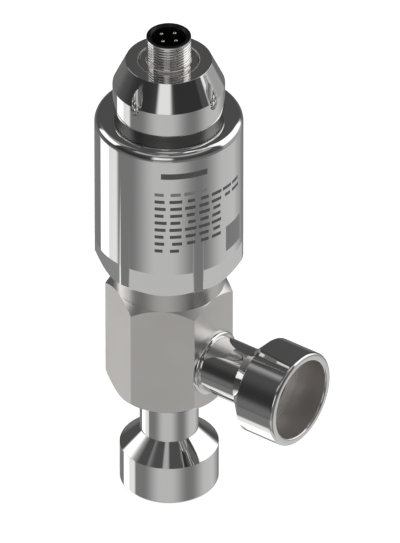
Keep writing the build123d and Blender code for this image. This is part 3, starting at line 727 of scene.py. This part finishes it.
# Insert: a black cup with its key towards +Y
KEY_STEPS = 4                               # on each side of the key's middle
KEY_CORNER, KEY_CLEAR = 0.002, 0.004        # radians: the key's side, and plain cup beyond it
key_angle = math.atan2(KEY_HALF, KEY_FACE)


def insert_section(inner):
    """The insert's section where its cup has this radius."""
    below = INSERT_TOP - INSERT_EDGE
    return [
        (0, INSERT_FLOOR), (INSERT_RADIUS, INSERT_FLOOR), (INSERT_RADIUS, below),
        (INSERT_RADIUS - INSERT_EDGE, INSERT_TOP), (inner + INSERT_EDGE, INSERT_TOP),
        (inner, below), (inner, CUP_FLOOR), (0, CUP_FLOOR),
    ]


insert_columns = []
for angle in even_angles(192):
    off = abs((angle - math.pi / 2 + math.pi) % (2 * math.pi) - math.pi)
    if off > key_angle + KEY_CLEAR:
        insert_columns.append((angle, insert_section(CUP_RADIUS)))
for side in (-1, 1):
    edge = math.pi / 2 + side * key_angle
    insert_columns.append((edge, insert_section(KEY_FACE / math.cos(key_angle))))
    insert_columns.append((edge + side * KEY_CORNER, insert_section(CUP_RADIUS)))
for step in range(1 - KEY_STEPS, KEY_STEPS):
    off = key_angle * step / KEY_STEPS
    insert_columns.append((math.pi / 2 + off, insert_section(KEY_FACE / math.cos(off))))
insert_columns.sort(key=lambda column: column[0])
insert = lathe("black_insert", insert_columns)
dress(insert, (black_plastic,), "black_plastic", "valve", "connector_insert")


# Contacts: one rounded pin repeated round a circle

def ring_tree(pin):
    """Copies of the pin, evenly round a circle."""
    tree, entry, out = geometry_tree(
        "contact_ring", (("Circle radius", 0.0025), ("First angle", 0.0)), (("Contacts", 4),))
    circle = tree.nodes.new("GeometryNodeMeshCircle")
    tree.links.new(entry.outputs["Contacts"], circle.inputs["Vertices"])
    tree.links.new(entry.outputs["Circle radius"], circle.inputs["Radius"])
    turn = tree.nodes.new("GeometryNodeTransform")
    spun = tree.nodes.new("ShaderNodeCombineXYZ")
    tree.links.new(entry.outputs["First angle"], spun.inputs["Z"])
    tree.links.new(circle.outputs[0], turn.inputs["Geometry"])
    tree.links.new(spun.outputs[0], turn.inputs["Rotation"])
    source = tree.nodes.new("GeometryNodeObjectInfo")
    source.inputs["Object"].default_value = pin
    place = tree.nodes.new("GeometryNodeInstanceOnPoints")
    tree.links.new(turn.outputs[0], place.inputs["Points"])
    tree.links.new(source.outputs["Geometry"], place.inputs["Instance"])
    close_tree(tree, place.outputs[0], out, (contact_metal, None))
    return tree


pin_section = rounded([
    (0.0, CONTACT_FLOOR, 0.0), (CONTACT_RADIUS, CONTACT_FLOOR, 0.0),
    (CONTACT_RADIUS, CONTACT_TOP, CONTACT_ROUND), (0.0, CONTACT_TOP, 0.0),
])
pin = spin("single_contact", pin_section, count=48)
contacts = bpy.data.objects.new("round_contacts", bpy.data.meshes.new("round_contacts"))
bpy.context.scene.collection.objects.link(contacts)
run_tree(contacts, ring_tree(pin), {
    "Circle radius": CONTACT_CIRCLE * MM, "First angle": math.radians(CONTACT_TURN),
    "Contacts": CONTACT_COUNT,
})
bpy.data.objects.remove(pin)
shade(contacts.data)
dress(contacts, (contact_metal,), "contact_metal", "valve", "contact_pins")


# Marking on the housing: plain bars in rows, laid round the cylinder

def bar_tree(finish):
    """Rows of bars of uneven length, laid flat first and then wrapped round the housing."""
    tree, entry, out = geometry_tree("marking_rows", (
        ("Row pitch", 0.00228), ("Bar height", 0.0010), ("Cell", 0.0040), ("Gap", 0.0005),
        ("Shortest row", 0.009), ("Longest row", 0.029), ("Radius", 0.020012),
        ("First angle", 0.0), ("Top level", 0.1045)), (("Rows", 8), ("Cells", 7), ("Seed", 3)))
    given = entry.outputs
    line = tree.nodes.new("GeometryNodeMeshLine")
    line.inputs["Offset"].default_value = (0, 0, 0)
    tree.links.new(math_node(tree, "MULTIPLY", given["Rows"], given["Cells"]),
                   line.inputs["Count"])
    index = tree.nodes.new("GeometryNodeInputIndex").outputs[0]
    row = math_node(tree, "FLOOR", math_node(tree, "DIVIDE", index, given["Cells"]))
    cell = math_node(tree, "MODULO", index, given["Cells"])

    def chance(low, high, identity, seed_step):
        """A number between low and high for each identity; seed_step keeps the draws apart."""
        node = tree.nodes.new("FunctionNodeRandomValue")
        node.data_type = "FLOAT"
        for socket, value in ((node.inputs[2], low), (node.inputs[3], high)):
            if isinstance(value, (int, float)):
                socket.default_value = value
            else:
                tree.links.new(value, socket)
        tree.links.new(identity, node.inputs["ID"])
        tree.links.new(math_node(tree, "ADD", given["Seed"], seed_step),
                       node.inputs["Seed"])
        return node.outputs[1]

    length = chance(given["Shortest row"], given["Longest row"], row, 0)
    width = math_node(tree, "SUBTRACT", given["Cell"], math_node(
        tree, "MULTIPLY", given["Gap"], chance(1.0, 4.0, index, 1)))
    spare = math_node(tree, "SUBTRACT", math_node(
        tree, "SUBTRACT", given["Cell"], width), given["Gap"])
    shift = math_node(tree, "MULTIPLY", math_node(tree, "GREATER_THAN", cell, 0.5),
                      math_node(tree, "MULTIPLY", spare, chance(0.0, 1.0, index, 2)))
    left = math_node(tree, "MULTIPLY_ADD", cell, given["Cell"], shift)
    beyond = math_node(tree, "GREATER_THAN", math_node(tree, "ADD", left, width), length)
    spot = tree.nodes.new("ShaderNodeCombineXYZ")
    tree.links.new(math_node(tree, "ADD", left, math_node(tree, "MULTIPLY", width, 0.5)),
                   spot.inputs[0])
    tree.links.new(math_node(tree, "MULTIPLY", row, math_node(
        tree, "MULTIPLY", given["Row pitch"], -1.0)), spot.inputs[1])
    put = tree.nodes.new("GeometryNodeSetPosition")
    tree.links.new(line.outputs[0], put.inputs["Geometry"])
    tree.links.new(spot.outputs[0], put.inputs["Position"])
    grid = tree.nodes.new("GeometryNodeMeshGrid")
    grid.inputs["Size X"].default_value = 1.0
    grid.inputs["Size Y"].default_value = 1.0
    grid.inputs["Vertices X"].default_value = 13
    grid.inputs["Vertices Y"].default_value = 2
    size = tree.nodes.new("ShaderNodeCombineXYZ")
    tree.links.new(width, size.inputs[0])
    tree.links.new(given["Bar height"], size.inputs[1])
    size.inputs[2].default_value = 1.0
    keep = tree.nodes.new("GeometryNodeCaptureAttribute")
    keep.capture_items.new("VECTOR", "Size")
    keep.capture_items.new("FLOAT", "Beyond")
    tree.links.new(put.outputs[0], keep.inputs[0])
    tree.links.new(size.outputs[0], keep.inputs[1])
    tree.links.new(beyond, keep.inputs[2])
    drop = tree.nodes.new("GeometryNodeDeleteGeometry")
    tree.links.new(keep.outputs[0], drop.inputs["Geometry"])
    tree.links.new(keep.outputs[2], drop.inputs["Selection"])
    place = tree.nodes.new("GeometryNodeInstanceOnPoints")
    tree.links.new(drop.outputs[0], place.inputs["Points"])
    tree.links.new(grid.outputs[0], place.inputs["Instance"])
    tree.links.new(keep.outputs[1], place.inputs["Scale"])
    flat = tree.nodes.new("GeometryNodeRealizeInstances")
    tree.links.new(place.outputs[0], flat.inputs[0])
    wrap = tree.nodes.new("GeometryNodeSetPosition")
    position = tree.nodes.new("GeometryNodeInputPosition").outputs[0]
    split = tree.nodes.new("ShaderNodeSeparateXYZ")
    tree.links.new(position, split.inputs[0])
    angle = math_node(tree, "ADD", given["First angle"],
                      math_node(tree, "DIVIDE", split.outputs[0], given["Radius"]))
    round_it = tree.nodes.new("ShaderNodeCombineXYZ")
    for number, wave in enumerate(("COSINE", "SINE")):
        tree.links.new(math_node(tree, "MULTIPLY", math_node(tree, wave, angle),
                                 given["Radius"]), round_it.inputs[number])
    tree.links.new(math_node(tree, "ADD", given["Top level"], split.outputs[1]),
                   round_it.inputs[2])
    tree.links.new(flat.outputs[0], wrap.inputs["Geometry"])
    tree.links.new(round_it.outputs[0], wrap.inputs["Position"])
    close_tree(tree, wrap.outputs[0], out, (finish, None))
    return tree


FRONT = math.radians(-53.4)     # direction on the housing that faces the camera
ROWS_LEFT = FRONT + math.radians(-11)


def marking(name, finish, values):
    """One set of bars; what values leaves out keeps the tree's own value."""
    piece = bpy.data.objects.new(name, bpy.data.meshes.new(name))
    bpy.context.scene.collection.objects.link(piece)
    run_tree(piece, bar_tree(finish), values)
    piece.data.shade_smooth()
    dress(piece, (finish,), "black_plastic", "valve")


marking("marking_band", ink, {
    "First angle": FRONT + math.radians(-6), "Top level": 0.1128, "Rows": 1, "Cells": 1,
    "Cell": 0.0145, "Bar height": 0.0018, "Shortest row": 0.02, "Longest row": 0.021,
})
marking("marking_first_row", pale_ink, {
    "First angle": ROWS_LEFT, "Top level": 0.1068, "Rows": 1, "Cells": 4,
    "Shortest row": 0.0155, "Longest row": 0.016, "Seed": 5,
})
marking("marking_long_rows", ink, {
    "First angle": ROWS_LEFT, "Top level": 0.1045, "Rows": 2, "Cells": 8,
    "Shortest row": 0.028, "Longest row": 0.031, "Seed": 8,
})
marking("marking_short_rows", ink, {
    "First angle": ROWS_LEFT, "Top level": 0.09994, "Rows": 5, "Cells": 6,
    "Shortest row": 0.0165, "Longest row": 0.0205, "Seed": 3,
})
marking("marking_last_row", ink, {
    "First angle": ROWS_LEFT, "Top level": 0.08854, "Rows": 1, "Cells": 3,
    "Shortest row": 0.0095, "Longest row": 0.01, "Seed": 2,
})
marking("marking_square", pale_ink, {
    "First angle": FRONT + math.radians(50), "Top level": 0.0876, "Rows": 1, "Cells": 1,
    "Cell": 0.0090, "Bar height": 0.0080, "Shortest row": 0.02, "Longest row": 0.021,
})

# CAD nodes that stay as they are
finishes = {
    "seat_gasket": white_seal, "seat_ring": turned, "valve_plug": turned, "spindle": turned,
    "guide_bush": brass, "stem_seal": rubber, "gland_nut": turned, "key_plate": turned,
    "body_gasket": copper, "motor_base": sheet_steel, "motor_end_plate": sheet_steel,
    "lower_bearing": brass, "upper_bearing": brass, "rotor_hub": brass, "rotor_magnet": ferrite,
    "lower_stator_cup": sheet_steel, "upper_stator_cup": sheet_steel,
    "lower_pole_ring": sheet_steel, "upper_pole_ring": sheet_steel,
    "lower_bobbin": bobbin_plastic, "upper_bobbin": bobbin_plastic,
    "lower_winding": winding, "upper_winding": winding, "cap_o_ring": rubber,
    "connector_o_ring": rubber, "motor_leads": sleeve,
}
for name, finish in finishes.items():
    nodes[name].data.materials.clear()
    nodes[name].data.materials.append(finish)

# Floor
FLOOR_REACH, FLOOR_GLOW = 6.0, 0.85
floor_mesh = bpy.data.meshes.new("studio_floor")
floor_mesh.from_pydata(
    [(x * FLOOR_REACH, y * FLOOR_REACH, 0) for x, y in ((-1, -1), (1, -1), (1, 1), (-1, 1))],
    [], [(0, 1, 2, 3)],
)
floor = bpy.data.objects.new("studio_floor", floor_mesh)
bpy.context.scene.collection.objects.link(floor)
floor_finish = material("pale_floor", (0.9, 0.9, 0.9), 0, 0.8, grain=400.0, spread=0.05,
                        bump=0.02)
floor_shader = floor_finish.node_tree.nodes["Principled BSDF"]
floor_shader.inputs["Emission Color"].default_value = (1, 1, 1, 1)
floor_shader.inputs["Emission Strength"].default_value = FLOOR_GLOW
floor_mesh.materials.append(floor_finish)
floor.visible_glossy = False

# Studio light: soft cards round the table, placed by direction in degrees
AZIMUTH, ELEVATION = math.radians(36.6), math.radians(35.264)
right = Vector((math.cos(AZIMUTH), math.sin(AZIMUTH), 0))
toward = Vector((math.sin(AZIMUTH), -math.cos(AZIMUTH), 0))


def make_light_card():
    """Lays one soft-edged card over the light so far. Its low and high edges may tilt."""
    group, entry, out = new_group(
        "light_card",
        [(label, "NodeSocketFloat", value) for label, value in (
            ("Around", 0.0), ("Height", 0.0), ("Under", 0.0), ("Centre", 0.0),
            ("Half width", 20.0), ("Low", 0.0), ("High", 30.0), ("Low tilt", 0.0),
            ("High tilt", 0.0), ("Softness", 4.0), ("Brightness", 1.0))],
        [("Light", "NodeSocketFloat")],
    )
    given = entry.outputs
    off = math_node(group, "WRAP", math_node(group, "SUBTRACT", given["Around"], given["Centre"]),
                    180.0, -180.0)
    low = math_node(group, "MULTIPLY_ADD", off, given["Low tilt"], given["Low"])
    high = math_node(group, "MULTIPLY_ADD", off, given["High tilt"], given["High"])
    cover = None
    for inside in (
        math_node(group, "SUBTRACT", given["Half width"], math_node(group, "ABSOLUTE", off)),
        math_node(group, "SUBTRACT", given["Height"], low),
        math_node(group, "SUBTRACT", high, given["Height"]),
    ):
        edge = group.nodes.new("ShaderNodeMapRange")
        edge.interpolation_type = "SMOOTHSTEP"
        edge.inputs["From Min"].default_value = -0.5
        edge.inputs["From Max"].default_value = 0.5
        group.links.new(math_node(group, "DIVIDE", inside, given["Softness"]),
                        edge.inputs["Value"])
        cover = edge.outputs[0] if cover is None else math_node(
            group, "MULTIPLY", cover, edge.outputs[0])
    change = math_node(group, "SUBTRACT", given["Brightness"], given["Under"])
    group.links.new(math_node(group, "MULTIPLY_ADD", change, cover, given["Under"]),
                    out.inputs["Light"])
    return group


BASE_LIGHT = 0.088              # before the first card
CARD_INPUTS = ("Centre", "Half width", "Low", "High", "Low tilt", "High tilt", "Softness",
               "Brightness")
cards = {
    "table": (0, 200, -95, -29.5, 0, 0, 1.5, 0.22),
    "table_under": (0, 200, -95, -58, 0, 0, 4, 0.68),
    "table_front": (-8.5, 32.5, -50, -20, -0.05, -0.08, 43, 0.65),
    "table_right": (106, 34, -61, -28, -0.06, 0.06, 43, 0.76),
    "table_left_far": (-132, 28, -70, -50, -0.29, -0.28, 17, 1.35),
    "table_left": (-109, 22, -90, -30, -0.12, 0.18, 7, 0.97),
    "table_left_bright": (-119.5, 12, -74, -31, 0.12, 0, 5, 1.6),
    "horizon": (0, 200, -29.5, -7, 0, 0, 13, 0.18),
    "horizon_left": (-88, 21, -20, 11, 0.3, -1.3, 29, 0.09),
    "horizon_front_left": (-62, 36, -8, 25, -0.25, -0.18, 26, 0.038),
    "horizon_front_right": (39, 28, 9, 16.5, -0.15, 0, 5, 0.037),
    "front_low": (-9, 14, -28, -15, 0, 0, 5, 0.45),
    "horizon_right": (112, 27, -30, 15, -0.24, 0.05, 7.5, 0.42),
    "left_box_glow": (-118, 31, 21, 38.5, -0.19, 0.97, 14, 0.38),
    "left_box": (-103.5, 19, 5, 33, 0.27, 0.16, 5.5, 1.4),
    "front_strip": (-9, 14, 0.5, 25, 0.2, -0.19, 9, 0.95),
    "front_wide": (8, 68, 36.5, 50, 0, 0, 8, 0.5),
    "front_top": (-10, 9, 50, 74, 0, 0, 8, 0.5),
    "right_box": (109, 26, -2, 48.5, -0.16, -0.79, 6.5, 1.35),
    "right_upper": (85.5, 23.5, 53.5, 60, -0.16, 0, 2, 1.05),
    "ceiling_front": (-3, 48, 61, 95, 0, 0, 8, 0.16),
    "ceiling_right": (69, 22, 66, 77, -0.2, 0.07, 5, 1.1),
    "zenith": (0, 200, 82, 95, 0, 0, 6, 0.55),
}
world = bpy.data.worlds.new("studio")
bpy.context.scene.world = world
world.use_nodes = True
sky = world.node_tree
split = sky.nodes.new("ShaderNodeSeparateXYZ")
sky.links.new(sky.nodes.new("ShaderNodeTexCoord").outputs["Generated"], split.inputs[0])
across, along = (
    math_node(sky, "MULTIPLY_ADD", split.outputs["X"], axis.x,
              math_node(sky, "MULTIPLY", split.outputs["Y"], axis.y))
    for axis in (right, toward)
)
around = math_node(sky, "DEGREES", math_node(sky, "ARCTAN2", across, along))
height = math_node(sky, "DEGREES", math_node(sky, "ARCSINE", split.outputs["Z"]))
light_card = make_light_card()
under = None
for name, values in cards.items():
    card = sky.nodes.new("ShaderNodeGroup")
    card.node_tree = light_card
    card.name = name
    for label, value in zip(CARD_INPUTS, values):
        card.inputs[label].default_value = value
    sky.links.new(around, card.inputs["Around"])
    sky.links.new(height, card.inputs["Height"])
    if under is None:
        card.inputs["Under"].default_value = BASE_LIGHT
    else:
        sky.links.new(under, card.inputs["Under"])
    under = card.outputs["Light"]
# The backdrop itself is plain white, also past the floor's edge
backdrop = sky.nodes.new("ShaderNodeLightPath").outputs["Is Camera Ray"]
sky.links.new(math_node(sky, "MAXIMUM", under, backdrop), sky.nodes["Background"].inputs["Color"])

# Camera: aimed at a point given along its own right and up and towards it, in metres
SEEN_HEIGHT = 0.14612           # what the frame's height takes in at that point
AIM_RIGHT, AIM_UP, AIM_BACK = 0.00834, 0.05536, 0.042
back = toward * math.cos(ELEVATION) + Vector((0, 0, math.sin(ELEVATION)))
upward = back.cross(right)
camera_data = bpy.data.cameras.new("camera")
camera_data.sensor_width = 36.0
camera_data.lens = 1270.0       # so long that the view is nearly parallel
camera_data.clip_start = 0.01
camera_data.clip_end = 20.0
distance = SEEN_HEIGHT * camera_data.lens / camera_data.sensor_width
camera = bpy.data.objects.new("camera", camera_data)
bpy.context.scene.collection.objects.link(camera)
camera.location = right * AIM_RIGHT + upward * AIM_UP + back * (AIM_BACK + distance)
camera.rotation_mode = "QUATERNION"
camera.rotation_quaternion = (-back).to_track_quat("-Z", "Y")
bpy.context.scene.camera = camera
bpy.context.scene.view_settings.view_transform = "Standard"
